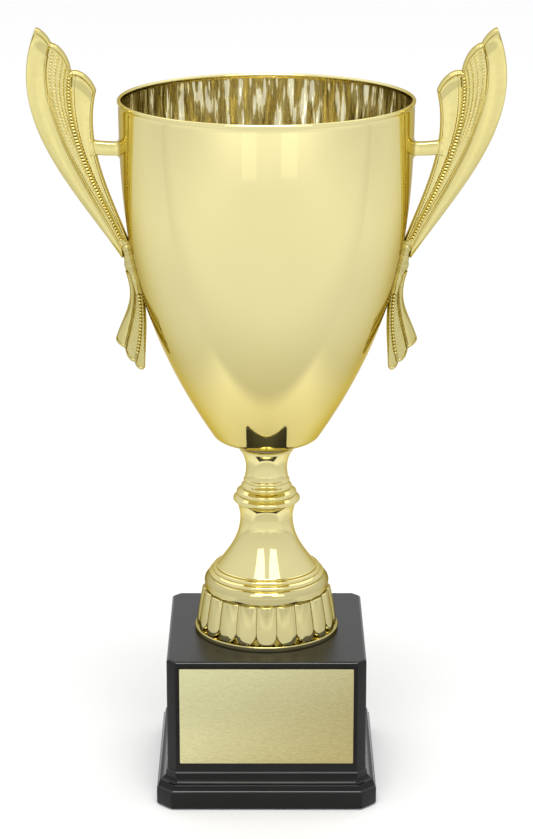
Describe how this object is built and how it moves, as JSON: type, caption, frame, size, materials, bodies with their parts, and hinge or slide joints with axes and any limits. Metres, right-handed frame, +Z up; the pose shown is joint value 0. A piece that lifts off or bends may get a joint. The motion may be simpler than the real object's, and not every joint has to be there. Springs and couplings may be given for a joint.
{
  "type": "cup trophy",
  "caption": "Footed cup trophy: a spun bowl with two plume handles on a ringed stem and fluted riser, on a weighted square base with a blank engraving plate.",
  "frame": {"origin": "centre of the underside of the felt pad, on the axis of the bowl and tie rod", "axes": "+Z up along the axis of the bowl, +X towards the right handle seen from the front, -Y towards the side that carries the engraving plate"},
  "size_m": [0.203, 0.1272, 0.3377],
  "materials": {
    "felt": "short black felt pile",
    "fibreboard": "pressed dark board",
    "black_gloss_plastic": "moulded, high gloss",
    "plaster": "cast plaster",
    "brushed_gold_plate": "fine horizontal brushing, lacquered",
    "adhesive_sheet": "double-sided foam film",
    "gold_metallised_plastic": "vacuum metallised pale gold, lacquered",
    "soft_gasket": "soft translucent washer",
    "polished_gold_metal": "spun and polished, pale gold plate",
    "cast_gold_metal": "cast, polished edges with satin panels, pale gold plate",
    "zinc_plated_steel": "bright zinc"
  },
  "bodies": {
    "root": {"felt_pad": "felt", "bottom_cover": "fibreboard", "base_shell": "black_gloss_plastic", "ballast_block": "plaster", "engraving_plate": "brushed_gold_plate", "plate_adhesive": "adhesive_sheet", "riser": "gold_metallised_plastic", "knuckle": "gold_metallised_plastic", "spool": "gold_metallised_plastic", "bowl_gasket": "soft_gasket", "bowl": "polished_gold_metal", "tie_rod": "zinc_plated_steel", "lower_washer": "zinc_plated_steel", "lock_washer": "zinc_plated_steel", "lower_nut": "zinc_plated_steel", "upper_washer": "zinc_plated_steel", "upper_nut": "zinc_plated_steel", "handle_left": "cast_gold_metal", "handle_right": "cast_gold_metal", "handle_screws": "zinc_plated_steel", "handle_washers": "soft_gasket"}
  },
  "joints": []
}
